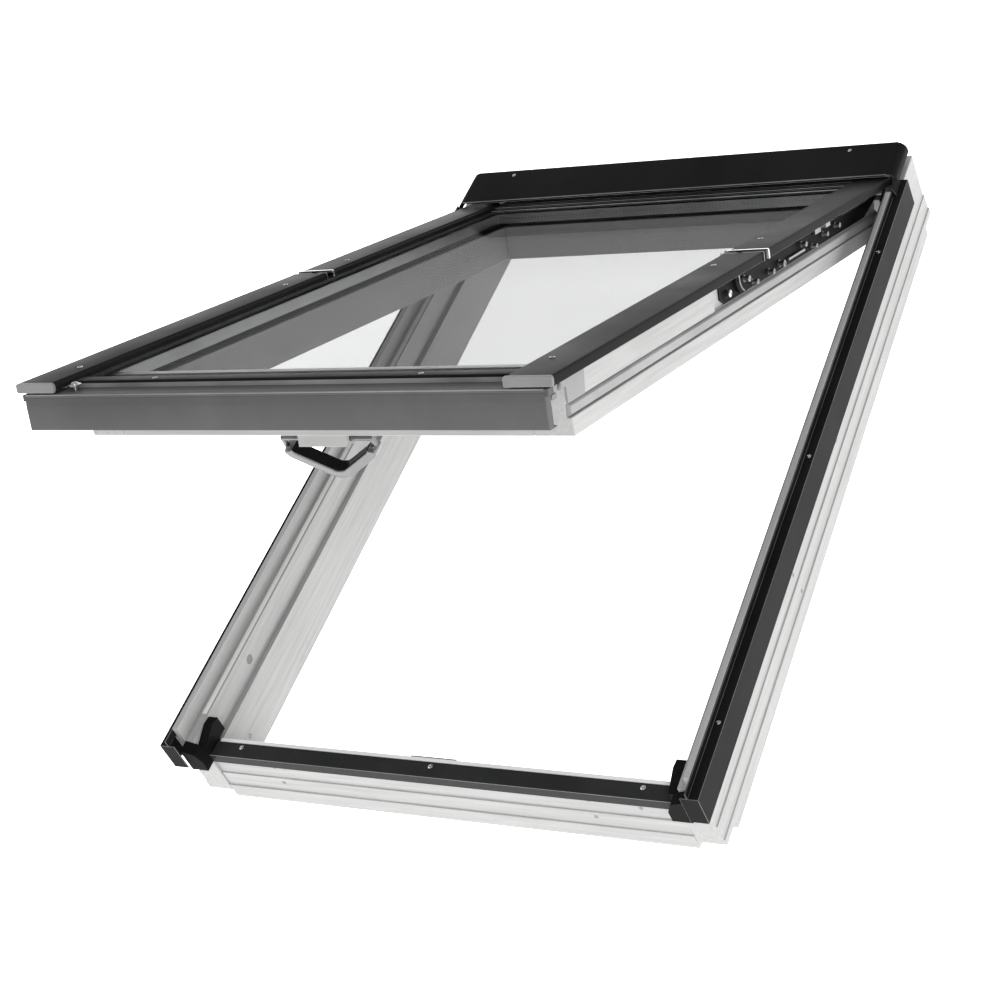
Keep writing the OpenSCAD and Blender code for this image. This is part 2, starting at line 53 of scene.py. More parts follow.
def flat(p):
    # frame places: x across, y up the slope, z outwards, millimetres to metres
    return np.asarray(p, float) * 0.001


def hang(p):
    # sash places (x, v down the slope, n outwards) turned about the hinge axis by the open angle
    p = np.asarray(p, float)
    c, s = math.cos(hinge["open"]), math.sin(hinge["open"])
    y = hinge["y"] - p[..., 1] * c + p[..., 2] * s
    z = hinge["z"] + p[..., 1] * s + p[..., 2] * c
    return np.stack([p[..., 0], y, z], -1) * 0.001


# the camera: its place, the way it looks and its own up, in metres
camera = {"place": (1.3210, -1.2097, 1.9582), "ahead": (-0.505, 0.6164, -0.6042), "up": (0.0081, 0.7034, 0.7108),
          "lens": 71.45, "shiftX": 0.0418, "shiftY": -0.1015}


def makeCamera(c):
    # right is ahead x up and up is right x ahead, so the three make the camera's square frame
    data = bpy.data.cameras.new("viewCamera")
    data.lens, data.shift_x, data.shift_y = c["lens"], c["shiftX"], c["shiftY"]
    data.clip_start, data.clip_end = 0.05, 60
    o = bpy.data.objects.new("viewCamera", data)
    scene.collection.objects.link(o)
    ahead = Vector(c["ahead"]).normalized()
    right = ahead.cross(Vector(c["up"])).normalized()
    up = right.cross(ahead)
    turn = Matrix((right, up, -ahead)).transposed()
    o.matrix_world = Matrix.Translation(Vector(c["place"])) @ turn.to_4x4()
    scene.camera = o


makeCamera(camera)
print("camera placed")

# two tones, roughness, gloss and bump of each finish; fine is the bump's scale
finishes = {
    "timber": {"dark": (0.345, 0.344, 0.341), "light": (0.425, 0.424, 0.421),
               "rough": 0.45, "gloss": 0.25, "bump": 0.12, "grain": True},
    "rawTimber": {"dark": (0.34, 0.33, 0.31), "light": (0.52, 0.51, 0.49),
                  "rough": 0.7, "bump": 0.3, "grain": True},
    "darkCoat": {"dark": (0.009, 0.009, 0.0092), "light": (0.014, 0.014, 0.0143),
                 "rough": 0.42, "gloss": 0.02, "bump": 0.05, "fine": 1500},
    "darkEdge": {"dark": (0.05, 0.052, 0.054), "light": (0.16, 0.165, 0.17),
                 "rough": 0.36, "bump": 0.03, "fine": 900},
    "greyCoat": {"dark": (0.08, 0.08, 0.08), "light": (0.1, 0.1, 0.1),
                 "rough": 0.42, "gloss": 0.1, "bump": 0.05, "fine": 1500},
    "greyEdge": {"dark": (0.14, 0.143, 0.145), "light": (0.26, 0.265, 0.27),
                 "rough": 0.36, "bump": 0.03, "fine": 900},
    "sillCoat": {"dark": (0.02, 0.0205, 0.021), "light": (0.03, 0.0305, 0.031),
                 "rough": 0.4, "gloss": 0.06, "bump": 0.05, "fine": 1500},
    "blackMould": {"dark": (0.004, 0.004, 0.004), "light": (0.008, 0.008, 0.008),
                   "rough": 0.55, "gloss": 0.04, "bump": 0.12, "fine": 700},
    "greyMould": {"dark": (0.22, 0.22, 0.22), "light": (0.28, 0.28, 0.28),
                  "rough": 0.48, "bump": 0.08, "fine": 800},
    "capMould": {"dark": (0.17, 0.172, 0.175), "light": (0.23, 0.232, 0.235),
                 "rough": 0.45, "gloss": 0.2, "bump": 0.06, "fine": 800},
    "whiteMould": {"dark": (0.36, 0.36, 0.355), "light": (0.42, 0.42, 0.415),
                   "rough": 0.28, "bump": 0.03, "fine": 500},
    "greySeal": {"dark": (0.26, 0.26, 0.26), "light": (0.36, 0.36, 0.36),
                 "rough": 0.65, "bump": 0.1, "fine": 600},
    "paleSeal": {"dark": (0.74, 0.74, 0.73), "light": (0.82, 0.82, 0.81),
                 "rough": 0.6, "bump": 0.08, "fine": 600},
    # plug grey, also used as the painted shade inside the pilot holes
    "plugMouldAndHoleShade": {"dark": (0.15, 0.15, 0.15), "light": (0.22, 0.22, 0.22),
                  "rough": 0.5, "bump": 0.08, "fine": 700},
    "blackSeal": {"dark": (0.008, 0.008, 0.008), "light": (0.018, 0.018, 0.018),
                  "rough": 0.6, "bump": 0.1, "fine": 600},
    "zinc": {"dark": (0.2, 0.202, 0.205), "light": (0.32, 0.323, 0.326),
             "rough": 0.34, "bump": 0.06, "fine": 300, "metal": 1.0},
    "bright": {"dark": (0.4, 0.402, 0.405), "light": (0.58, 0.582, 0.585),
               "rough": 0.2, "bump": 0.03, "fine": 500, "metal": 1.0},
    "studSteel": {"dark": (0.16, 0.162, 0.165), "light": (0.34, 0.343, 0.347),
                  "rough": 0.38, "bump": 0.05, "fine": 400, "metal": 1.0},
    "blackSteel": {"dark": (0.01, 0.01, 0.011), "light": (0.022, 0.022, 0.024),
                   "rough": 0.32, "gloss": 0.25, "bump": 0.05, "fine": 700},
    "spacerAlloy": {"dark": (0.34, 0.345, 0.35), "light": (0.46, 0.465, 0.47),
                    "rough": 0.35, "bump": 0.04, "fine": 900, "metal": 1.0},
    "handleAlloy": {"dark": (0.15, 0.151, 0.153), "light": (0.22, 0.222, 0.224),
                    "rough": 0.34, "bump": 0.04, "fine": 1200, "metal": 1.0},
}
made = {}


def noise(tree, source, scale, detail=3.0, rough=0.55):
    # fractal noise of the given scale over a place in metres
    n = tree.nodes.new("ShaderNodeTexNoise")
    n.inputs["Scale"].default_value, n.inputs["Detail"].default_value = scale, detail
    n.inputs["Roughness"].default_value = rough
    tree.links.new(source, n.inputs["Vector"])
    return n.outputs["Fac"]


def spread(tree, value, low, high, toLow, toHigh):
    # straight line from low..high to toLow..toHigh, held at its ends
    m = tree.nodes.new("ShaderNodeMapRange")
    for name, v in zip(("From Min", "From Max", "To Min", "To Max"), (low, high, toLow, toHigh)):
        m.inputs[name].default_value = v
    tree.links.new(value, m.inputs["Value"])
    return m.outputs["Result"]


def blendTones(tree, amount, a, b):
    # a times (1 - amount) plus b times amount, where a or b is a colour or a socket
    m = tree.nodes.new("ShaderNodeMix")
    m.data_type = "RGBA"
    tree.links.new(amount, m.inputs["Factor"])
    for into, v in ((6, a), (7, b)):
        if isinstance(v, tuple):
            m.inputs[into].default_value = (*v, 1)
        else:
            tree.links.new(v, m.inputs[into])
    return m.outputs[2]


def finish(kind, along="y"):
    # a coat of two tones, with broad clouds, fine bump, small scuffs and uneven gloss;
    # timber has noise drawn out along its length instead, and a little soil
    f = finishes[kind]
    name = kind + (along.upper() if f.get("grain") else "")
    if name in made:
        return made[name]
    m = bpy.data.materials.new(name)
    m.use_nodes = True
    t = m.node_tree
    shader = t.nodes["Principled BSDF"]
    place = t.nodes.new("ShaderNodeTexCoord").outputs["Object"]
    clouds = noise(t, place, 7.0, 4.0)
    if f.get("grain"):
        aligned = t.nodes.new("ShaderNodeMapping")
        aligned.inputs["Rotation"].default_value = (hinge["open"] if along == "slope" else 0, 0, 0)
        t.links.new(place, aligned.inputs["Vector"])
        drawn = t.nodes.new("ShaderNodeMapping")
        drawn.inputs["Scale"].default_value = (2.2, 60, 60) if along == "x" else (60, 2.2, 60)
        t.links.new(aligned.outputs["Vector"], drawn.inputs["Vector"])
        grain = noise(t, drawn.outputs["Vector"], 3.2, 5.0, 0.62)
        fine = noise(t, drawn.outputs["Vector"], 14.0, 2.0)
        tone = spread(t, grain, 0.3, 0.66, 0, 1)
        tint = blendTones(t, tone, f["dark"], f["light"])
        soil = spread(t, noise(t, place, 24.0, 5.0, 0.7), 0.62, 0.8, 0, 0.35)
        tint = blendTones(t, soil, tint, tuple(v * 0.6 for v in f["dark"]))
        height = fine
    else:
        tint = blendTones(t, spread(t, clouds, 0.32, 0.68, 0, 1), f["dark"], f["light"])
        scuff = spread(t, noise(t, place, 90.0, 6.0, 0.75), 0.66, 0.78, 0, 0.3)
        tint = blendTones(t, scuff, tint, tuple(min(v * 1.7 + 0.01, 0.9) for v in f["light"]))
        height = noise(t, place, f["fine"], 2.0)
    t.links.new(tint, shader.inputs["Base Color"])
    rough = spread(t, clouds, 0.3, 0.7, f["rough"] - 0.05, f["rough"] + 0.07)
    t.links.new(rough, shader.inputs["Roughness"])
    shader.inputs["Metallic"].default_value = f.get("metal", 0.0)
    shader.inputs["Specular IOR Level"].default_value = f.get("gloss", 0.4)
    b = t.nodes.new("ShaderNodeBump")
    b.inputs["Strength"].default_value = f["bump"]
    b.inputs["Distance"].default_value = 0.0004
    t.links.new(height, b.inputs["Height"])
    t.links.new(b.outputs["Normal"], shader.inputs["Normal"])
    made[name] = m
    return m


glass = {"tint": ((0.79, 0.791, 0.791), (0.8, 0.801, 0.801)), "gloss": (0.24, 0.24, 0.245), "rough": 0.03,
         "edgeOn": 5.0, "shine": {"outerGlass": 0.14, "innerGlass": 0.03}}


def glassFinish(name, shine):
    # a tinted clear sheet under a gloss that grows from a twentieth of shine to shine
    # with the fifth power of how far the surface turns away
    m = bpy.data.materials.new(name)
    m.use_nodes = True
    t = m.node_tree
    t.nodes.remove(t.nodes["Principled BSDF"])
    out = t.nodes["Material Output"]
    through = t.nodes.new("ShaderNodeBsdfTransparent")
    place = t.nodes.new("ShaderNodeTexCoord").outputs["Object"]
    haze = spread(t, noise(t, place, 3.0, 2.0), 0.3, 0.7, 0, 1)
    t.links.new(blendTones(t, haze, *glass["tint"]), through.inputs["Color"])
    gloss = t.nodes.new("ShaderNodeBsdfGlossy")
    gloss.inputs["Roughness"].default_value = glass["rough"]
    gloss.inputs["Color"].default_value = (*glass["gloss"], 1)
    slope = t.nodes.new("ShaderNodeLayerWeight")
    slope.inputs["Blend"].default_value = 0.5
    steep = t.nodes.new("ShaderNodeMath")
    steep.operation = "POWER"
    steep.inputs[1].default_value = glass["edgeOn"]
    t.links.new(slope.outputs["Facing"], steep.inputs[0])
    mix = t.nodes.new("ShaderNodeMixShader")
    t.links.new(spread(t, steep.outputs["Value"], 0, 1, shine * 0.05, shine), mix.inputs[0])
    t.links.new(through.outputs[0], mix.inputs[1])
    t.links.new(gloss.outputs[0], mix.inputs[2])
    t.links.new(mix.outputs[0], out.inputs["Surface"])
    return m


for name, shine in glass["shine"].items():
    made[name] = glassFinish(name, shine)
print("finishes ready:", len(finishes) + len(glass["shine"]))


def rounded(points, radius, steps=4):
    # each inner corner of an open line becomes a quadratic arc between two points at that distance from it
    p = np.asarray(points, float)
    a, b, c = p[:-2], p[1:-1], p[2:]
    la, lc = np.linalg.norm(b - a, axis=1)[:, None], np.linalg.norm(c - b, axis=1)[:, None]
    r = np.minimum(np.minimum(la, lc) * 0.45, radius)
    s, e = b + (a - b) / la * r, b + (c - b) / lc * r
    u = np.linspace(0, 1, steps)[None, :, None]
    arc = (1 - u) ** 2 * s[:, None] + 2 * u * (1 - u) * b[:, None] + u ** 2 * e[:, None]
    return np.concatenate([p[:1], arc.reshape(-1, p.shape[1]), p[-1:]])


def folded(points, thick, radius, steps=4):
    # a bent sheet seen from its end: the rounded line, moved half its thickness to each side along its normal
    line = rounded(points, radius, steps)
    d = np.gradient(line, axis=0)
    d /= np.linalg.norm(d, axis=1)[:, None]
    side = np.stack([-d[:, 1], d[:, 0]], 1) * thick / 2
    return np.concatenate([line + side, (line - side)[::-1]])


def ringFaces(around, rows):
    # face (row j, point i) joins points i and i + 1 of ring j to the same points of ring j + 1
    i, j = np.meshgrid(np.arange(around), np.arange(rows - 1))
    n = (i + 1) % around
    corners = [j * around + i, j * around + n, (j + 1) * around + n, (j + 1) * around + i]
    return np.stack(corners, -1).reshape(-1, 4).tolist()


def endFaces(around, rows):
    # the first and the last ring, each closed by one face
    return [list(range(around)), list(range((rows - 1) * around, rows * around))]


def carried(outline, stations, axis, place, strip=False):
    # an outline carried straight along one axis; the ends close with one face, or with a strip for a bent sheet
    k, m = len(outline), len(stations)
    a, b = outline[:, 0], outline[:, 1]
    s = np.repeat(np.asarray(stations, float), k)
    a, b = np.tile(a, m), np.tile(b, m)
    p = np.stack({"x": [s, a, b], "v": [a, s, b]}[axis], -1)
    quads = ringFaces(k, m)
    if strip:
        h = np.arange(k // 2 - 1)
        lid = np.stack([h, h + 1, k - 2 - h, k - 1 - h], 1)
        quads += lid.tolist() + (lid + (m - 1) * k).tolist()
    else:
        quads += endFaces(k, m)
    return place(p), quads


def turned(profile, centre, axisWay, place, around=24, star=None):
    # a lathe form: (radius x cosine, radius x sine, height) of each profile point over the angle round the axis;
    # star lowers the top inside a six-lobed edge, radius x (0.82 + 0.18 x cosine of six times the angle)
    profile = np.asarray(profile, float)
    ang = np.linspace(0, 2 * np.pi, around, endpoint=False)
    r, h = profile[:, 0][:, None], profile[:, 1][:, None]
    if star:
        edge = star["radius"] * (0.82 + 0.18 * np.cos(6 * ang))[None, :]
        h = h - star["depth"] * np.clip((edge - r) / (star["radius"] * 0.2) + 0.5, 0, 1) * (h > star["above"])
    r, h = np.broadcast_arrays(r + 0 * ang, h + 0 * ang)
    u, w = r * np.cos(ang), r * np.sin(ang)
    p = {"x": [h, u, w], "n": [u, w, h], "v": [u, h, w]}[axisWay]
    p = np.stack(p, -1) + np.asarray(centre, float)
    m, k = h.shape
    quads = ringFaces(k, m)
    quads += endFaces(k, m)
    return place(p.reshape(-1, 3)), quads


def tube(path, radius, place, around=10, shape=None, taper=None):
    # a ring of points square to each step of the path, side x cosine plus up x sine of the angle;
    # shape gives (side, up, power) for a flat strip, whose cosine and sine are raised to that power
    path = np.asarray(path, float)
    d = np.gradient(path, axis=0)
    d /= np.linalg.norm(d, axis=1)[:, None]
    ref = np.array([0.0, 1.0, 0.0]) if abs(d[:, 1]).mean() < 0.8 else np.array([0.0, 0.0, 1.0])
    side = np.cross(d, ref)
    side /= np.linalg.norm(side, axis=1)[:, None]
    up = np.cross(side, d)
    ang = np.linspace(0, 2 * np.pi, around, endpoint=False)
    c, s = np.cos(ang), np.sin(ang)
    if shape:
        power = shape[2]
        c = np.sign(c) * abs(c) ** power * shape[0]
        s = np.sign(s) * abs(s) ** power * shape[1]
    else:
        c, s = c * radius, s * radius
    grow = np.ones(len(path)) if taper is None else np.asarray(taper, float)
    p = path[:, None] + (side[:, None] * c[None, :, None] + up[:, None] * s[None, :, None]) * grow[:, None, None]
    m, k = len(path), around
    quads = ringFaces(k, m)
    quads += endFaces(k, m)
    return place(p.reshape(-1, 3)), quads


def otherSide(shape):
    # the same shape across the middle line, x turned to -x
    p, faces = shape
    return p * np.array([-1.0, 1, 1]), faces


def cadCopy(node):
    # a merged copy of the CAD node's mesh, whose flat faces are whole again
    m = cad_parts[node].data.copy()
    b = bmesh.new()
    b.from_mesh(m)
    bmesh.ops.remove_doubles(b, verts=b.verts, dist=2e-6)
    bmesh.ops.dissolve_limit(b, angle_limit=math.radians(0.6), verts=b.verts, edges=b.edges)
    bmesh.ops.recalc_face_normals(b, faces=b.faces)
    b.to_mesh(m)
    b.free()
    points = np.empty(len(m.vertices) * 3)
    m.vertices.foreach_get("co", points)
    faces = [list(f.vertices) for f in m.polygons]
    return points.reshape(-1, 3), faces


def piece(name, body, nodes, shapes, bevel=0.0, edge=None, steps=2, smooth=32):
    # shapes is a list of (shape, material); a bevel rounds every edge sharper than the smooth angle
    points, faces, which, mats, start = [], [], [], [], 0
    for shape, material in shapes:
        if material not in mats:
            mats.append(material)
        p, f = shape
        points.append(np.asarray(p, float))
        faces += [[i + start for i in k] for k in f]
        which += [mats.index(material)] * len(f)
        start += len(p)
    m = bpy.data.meshes.new(name)
    m.from_pydata(np.concatenate(points).tolist(), [], faces)
    m.polygons.foreach_set("material_index", np.array(which, dtype=np.int32))
    b = bmesh.new()
    b.from_mesh(m)
    bmesh.ops.recalc_face_normals(b, faces=b.faces)
    b.to_mesh(m)
    b.free()
    for k in mats:
        m.materials.append(k)
    m.shade_smooth()
    m.set_sharp_from_angle(angle=math.radians(smooth))
    o = bpy.data.objects.new(name, m)
    scene.collection.objects.link(o)
    if bevel:
        mod = o.modifiers.new("softEdges", "BEVEL")
        mod.width, mod.segments, mod.limit_method = bevel * 0.001, steps, "ANGLE"
        mod.angle_limit, mod.harden_normals = math.radians(smooth), True
        mod.use_clamp_overlap = True
        if edge:
            m.materials.append(edge)
            mod.material = len(mats)
    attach(o, body)
    if nodes:
        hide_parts(*nodes)
    return o


# the eight timbers keep the CAD's sections, with their lacquered edges rounded
timber = {"edge": 1.3}
for node, body, along in (("frame_left_jamb", "frame", "y"), ("frame_right_jamb", "frame", "y"),
                          ("frame_head_rail", "frame", "x"), ("frame_sill_rail", "frame", "x"),
                          ("sash_left_stile", "sash", "slope"), ("sash_right_stile", "sash", "slope"),
                          ("sash_top_rail", "sash", "x"), ("sash_bottom_rail", "sash", "x")):
    piece(node + "_timber", body, [node], [(cadCopy(node), finish("timber", along))], timber["edge"])
print("timber done")

# pieces that keep the CAD's form: node, body, slot, coat, coat of the rounded edges, width of those edges
kept = (
    ("left_jamb_cover", "frame", "dark_cover", "darkCoat", "darkEdge", 0.5),
    ("right_jamb_cover", "frame", "dark_cover", "darkCoat", "darkEdge", 0.5),
    ("sill_cover", "frame", "grey_cover", "sillCoat", "greyEdge", 0.5),
    ("left_corner_block", "frame", "black_plastic", "blackMould", None, 1.0),
    ("right_corner_block", "frame", "black_plastic", "blackMould", None, 1.0),
    ("frame_gasket", "frame", "grey_gasket", "paleSeal", None, 0.4),
    ("left_hinge_bracket", "frame", "zinc_steel", "zinc", None, 0.6),
    ("right_hinge_bracket", "frame", "zinc_steel", "zinc", None, 0.6),
    ("hinge_pins", "frame", "bright_steel", "bright", None, 0.4),
    ("latch_keeper", "frame", "zinc_steel", "zinc", None, 0.3),
    ("frame_plugs", "frame", "grey_plastic", "plugMouldAndHoleShade", None, 0.4),
    ("left_lifting_arm", "lift_arms", "black_steel", "blackMould", "blackSteel", 0.8),
    ("right_lifting_arm", "lift_arms", "black_steel", "blackMould", "blackSteel", 0.8),
    ("arm_links", "lift_arms", "zinc_steel", "zinc", None, 0.5),
    ("spacer_bar", "sash", "spacer_metal", "spacerAlloy", None, 0.4),
    ("glazing_gasket", "sash", "black_gasket", "blackSeal", None, 0.3),
    ("left_end_block", "sash", "grey_plastic", "greyMould", None, 0.8),
    ("right_end_block", "sash", "grey_plastic", "greyMould", None, 0.8),
    ("left_pivot_plate", "sash", "black_steel", "blackMould", "blackSteel", 0.5),
    ("right_pivot_plate", "sash", "black_steel", "blackMould", "blackSteel", 0.5),
    ("joint_seals", "sash", "black_plastic", "blackMould", None, 0.3),
    ("sash_gasket", "sash", "grey_gasket", "greySeal", None, 0.3),
    ("lock_case", "sash", "white_plastic", "whiteMould", None, 1.5),
    ("top_glass_cover", "sash", "dark_cover", "darkCoat", "darkEdge", 0.5),
)
for node, body, slot, coat, edgeCoat, width in kept:
    piece(node + "_form", body, [node], [(cadCopy(node), finish(coat))], width,
          finish(edgeCoat) if edgeCoat else None)
print("carried-over forms done:", len(kept))

# panes
for node, coat in (("outer_pane", "outerGlass"), ("inner_pane", "innerGlass")):
    piece(node + "_glass", "sash", [node], [(cadCopy(node), made[coat])], 0.5)

# sash side covers: pressed strips with a stepped bead along the glass
sideCover = {"inner": 310, "outer": 369, "top": 20, "bottom": 10, "sheet": 1.5, "flangeLow": 8, "fold": 2.2,
             "step": 2.8, "stepDrop": 3.4, "stepRun": 1.6, "upper": (6, 536.5), "lower": (553.5, 1163)}


def sideStrip(c, ends):
    # a bent line up the glass side, over the step and the flat top and down the outer flange, carried along v
    h, inner, ledge = c["sheet"] / 2, c["inner"], c["top"] - c["stepDrop"]
    line = [(inner + h, c["bottom"]), (inner + h, ledge), (inner + c["step"] + h, ledge),
            (inner + c["step"] + c["stepRun"], c["top"] - h), (c["outer"] - h, c["top"] - h),
            (c["outer"] - h, c["flangeLow"])]
    return carried(folded(line, c["sheet"], c["fold"]), ends, "v", hang, strip=True)


for side, mirrorIt in (("left", True), ("right", False)):
    for part, body in (("upper", "lift_arms"), ("lower", "sash")):
        strip = sideStrip(sideCover, sideCover[part])
        if mirrorIt:
            strip = otherSide(strip)
        piece(f"{side}_{part}_strip", body, [f"{side}_{part}_cover"], [(strip, finish("darkCoat"))],
              0.35, finish("darkEdge"), smooth=40)
print("side covers pressed")

# head cover: a pressed hood, round at its ends, with short legs over the jamb covers
hood = {"half": 382, "low": 138, "shoulder": 373, "top": 157, "sheet": 1.5, "bend": 9, "y": (1102, 1180),
        "leg": (1072, 1102),
        "legOutline": ((381, 138), (387.6, 138), (388, 139.5), (386, 145), (382.8, 151.4), (381, 152)),
        "lip": 366, "backHalf": 370, "backLow": 120, "foot": 350, "footDepth": 4}


def hoodShapes(c):
    # the skin is a bent line across the window carried along y; lip, rear wall and its foot run along x;
    # each leg is a small outline carried along y
    h, t = c["sheet"] / 2, c["top"]
    side = [(c["half"], c["low"] + 0.2), (c["half"] - 1, t - 8.5), (c["shoulder"], t - h)]
    line = [(-x, z) for x, z in side] + side[::-1]
    skin = carried(folded(line, c["sheet"], c["bend"], 7), c["y"], "v", flat, strip=True)
    front, back = c["y"]
    wall, low = back + c["sheet"], c["backLow"]
    inner = back - c["footDepth"]
    lip = np.array([(front, t - 3.4), (front + 1.4, t - 3.4), (front + 1.4, t - 1.4), (front, t - 1.4)])
    rear = np.array([(back, low), (wall, low), (wall, t - 0.2), (back, t - 0.2)])
    foot = np.array([(inner, low), (back, low), (back, low + c["sheet"]), (inner, low + c["sheet"])])
    leg = np.array(c["legOutline"])
    legShape = carried(rounded(np.vstack([leg, leg[:1]]), 1.2, 3)[:-1], c["leg"], "v", flat)
    return [skin, carried(lip, (-c["lip"], c["lip"]), "x", flat),
            carried(rear, (-c["backHalf"], c["backHalf"]), "x", flat),
            carried(foot, (-c["foot"], c["foot"]), "x", flat), legShape, otherSide(legShape)]


piece("hood_pressing", "frame", ["head_cover"],
      [(s, finish("darkCoat")) for s in hoodShapes(hood)], 0.4, finish("darkEdge"), smooth=40)
print("hood pressed")

# end caps of the side covers
endCap = {"inner": 310, "outer": 369, "low": 8, "top": 20, "near": 1163, "far": 1168, "round": 3.5}
for side, mirrorIt in (("left", True), ("right", False)):
    inner, outer, low, top = (endCap[k] for k in ("inner", "outer", "low", "top"))
    start = (inner, low + 4)  # part of the way up one side, so that all four corners are rounded
    ring = rounded([start, (inner, top), (outer, top), (outer, low), (inner, low), start], endCap["round"], 5)[:-1]
    shape = carried(ring, (endCap["near"], endCap["far"]), "v", hang)
    if mirrorIt:
        shape = otherSide(shape)
    piece(f"{side}_cap_moulding", "sash", [f"{side}_end_cap"], [(shape, finish("capMould"))], 0.7,
          finish("greyEdge"))

# bottom cladding: two flats with a crease, a fine groove under the lip and turned-in ends
cladding = {"half": 358, "front": 1168, "top": 5.5, "crease": -8.5, "low": -39.5, "sheet": 1.5, "back": 1134,
            "lipOut": 362}


def claddingShapes(c):
    # the sheet is a bent line from the top flat, round the lip's groove and down to the crease, carried along x;
    # a lip end and a cheek close each side
    h = c["sheet"] / 2
    f, t = c["front"], c["top"]
    line = [(c["back"], t - h), (f - 1.6, t - h), (f - 1.4 - h, t - 3.2), (f - 1.9 - h, t - 3.8),
            (f - 1.1 - h, t - 4.6), (f - h, c["crease"]), (f - 1 - h, c["low"] + h), (f - 18, c["low"] + h)]
    sheet = carried(folded(line, c["sheet"], 1.1, 3), (-c["half"], c["half"]), "x", hang, strip=True)
    lip = np.array([(f - 1.5, t - 8), (f - 1.5, t), (f - 14, t), (f - 14, t - 8)])
    cheek = np.array([(f - 2.6, c["low"] + 1.6), (f - 2.1, c["crease"]), (f - 3.6, t - 1.7), (f - 12, t - 1.7),
                      (f - 12, c["low"] + 1.6)])
    ends = [carried(lip, (c["half"], c["lipOut"]), "x", hang),
            carried(cheek, (c["half"] - c["sheet"], c["half"]), "x", hang)]
    return [sheet] + ends + [otherSide(e) for e in ends]


piece("cladding_front", "sash", ["bottom_cladding"],
      [(s, finish("greyCoat")) for s in claddingShapes(cladding)], 0.35, finish("greyEdge"), smooth=24)
print("cladding done")

# screws: the recess is a share of the head's radius
screw = {"around": 30, "star": 0.5}


def screwShape(centre, radius, height, place, way="n"):
    # a low dome: height falls with the square of the radius, with a six-lobed recess in the middle
    s = np.linspace(0.06, 1, 12)
    dome = np.stack([radius * s, height * (1 - 0.75 * s ** 2.4)], 1)
    profile = np.concatenate([dome, [[radius, 0.0]]])
    star = {"radius": radius * screw["star"], "depth": height * 0.6, "above": height * 0.3}
    return turned(profile, centre, way, place, screw["around"], star)


frameScrews = [((x, 15.6, 96.5), 3.6) for x in (-300, 0, 300)]
frameScrews += [((x, y, 138), 3.2) for y in (90, 531, 944) for x in (-388.5, 388.5)]
frameScrews += [((x, 1168, 157), 3.2) for x in (-296, 296)]
piece("frame_screw_heads", "frame", ["frame_cover_screws"],
      [(screwShape(p, r, 1.6, flat), finish("bright")) for p, r in frameScrews])
piece("upper_strip_screws", "lift_arms", ["upper_cover_screws"],
      [(screwShape((x, 464, 20), 3.6, 1.6, hang), finish("bright")) for x in (-331, 331)])
sashScrews = [((x, v, 20), 3.6, 1.6) for v in (630, 1090) for x in (-331, 331)]
sashScrews += [((x, 1126, 14), 3.2, 1.4) for x in (-186, 186)]
piece("lower_strip_screws", "sash", ["sash_cover_screws"],
      [(screwShape(p, r, h, hang), finish("bright")) for p, r, h in sashScrews])
clip = {"place": (-296, 1144), "level": 5.5}
clipShapes = [
    turned([(3, 0), (3, 5), (2.6, 5.2)], (*clip["place"], clip["level"]), "n", hang, 20),
    turned([(2.8, 5.0), (7.4, 5.0), (8, 5.4), (8, 6.8), (7.2, 7.5), (4.2, 7.5)],
           (*clip["place"], clip["level"]), "n", hang, 32),
    screwShape((clip["place"][0], clip["place"][1], clip["level"] + 7.5), 5, 3, hang),
]
piece("clip_screw_set", "sash", ["clip_screw"], [(s, finish("bright")) for s in clipShapes])
print("screws done")

# lift hardware: studs as (v, n, radius) on the arm's plate, and a wire coil round each spring's rod
lift = {"studs": ((556, -14, 4.5), (528, -24, 3.5), (468, -24, 4), (427, -22, 5), (338, -14, 4), (297, -25, 3.5),
                  (248, -18, 3.5), (195, -16, 4)),
        "plate": 338, "springV": (60, 218), "springX": 344, "coil": 5.2, "wire": 0.9, "turns": 46}
studShapes = []
for v, n, r in lift["studs"]:
    post = [(r, 0), (r, 2.2), (r * 0.8, 2.4), (r * 0.8, 7.2), (r * 0.98, 7.4), (r, 8), (r, 9.2), (r * 0.8, 9.9),
            (r * 0.4, 10), (r * 0.34, 9.2)]
    shape = turned(post, (lift["plate"], v, n), "x", hang, 22)
    studShapes += [(shape, finish("studSteel")), (otherSide(shape), finish("studSteel"))]
piece("lift_studs", "lift_arms", ["arm_studs"], studShapes)
share = np.linspace(0, 1, lift["turns"] * 14)
coilTop, coilEnd = lift["springV"]
coilTurn = share * lift["turns"] * 2 * np.pi
coilPath = np.stack([lift["springX"] + lift["coil"] * np.cos(coilTurn),
                     coilTop + 3 + share * (coilEnd - coilTop - 30),
                     lift["coil"] * np.sin(coilTurn)], 1)
coil = tube(coilPath, lift["wire"], hang, 6)
core = turned([(1, 60), (2.4, 60.2), (2.4, 217.8), (1, 218)], (lift["springX"], 0, 0), "v", hang, 14)
springShapes = [(s, finish(k)) for form, k in ((coil, "blackSteel"), (core, "zinc")) for s in (form, otherSide(form))]
piece("lift_spring_coils", "lift_arms", ["lift_springs"], springShapes)
# a pressed rim round the arm's lower end, and the screw of the pivot plate beside it
rim = {"centre": (558, -8.25), "radius": 20.6, "from": -1.15, "to": 1.75, "x": 342.3, "wire": 0.9}
rimTurn = np.linspace(rim["from"], rim["to"], 30)
rimPath = np.stack([0 * rimTurn + rim["x"], rim["centre"][0] + rim["radius"] * np.cos(rimTurn),
                    rim["centre"][1] + rim["radius"] * np.sin(rimTurn)], 1)
rimRing = tube(rimPath, rim["wire"], hang, 8)
piece("arm_rims", "lift_arms", (), [(s, finish("zinc")) for s in (rimRing, otherSide(rimRing))])
plateScrew = screwShape((338.6, 606, -22), 5.2, 2.6, hang, "x")
piece("pivot_plate_screws", "sash", (),
      [(s, finish("bright")) for s in (plateScrew, otherSide(plateScrew))])
print("lift hardware done")

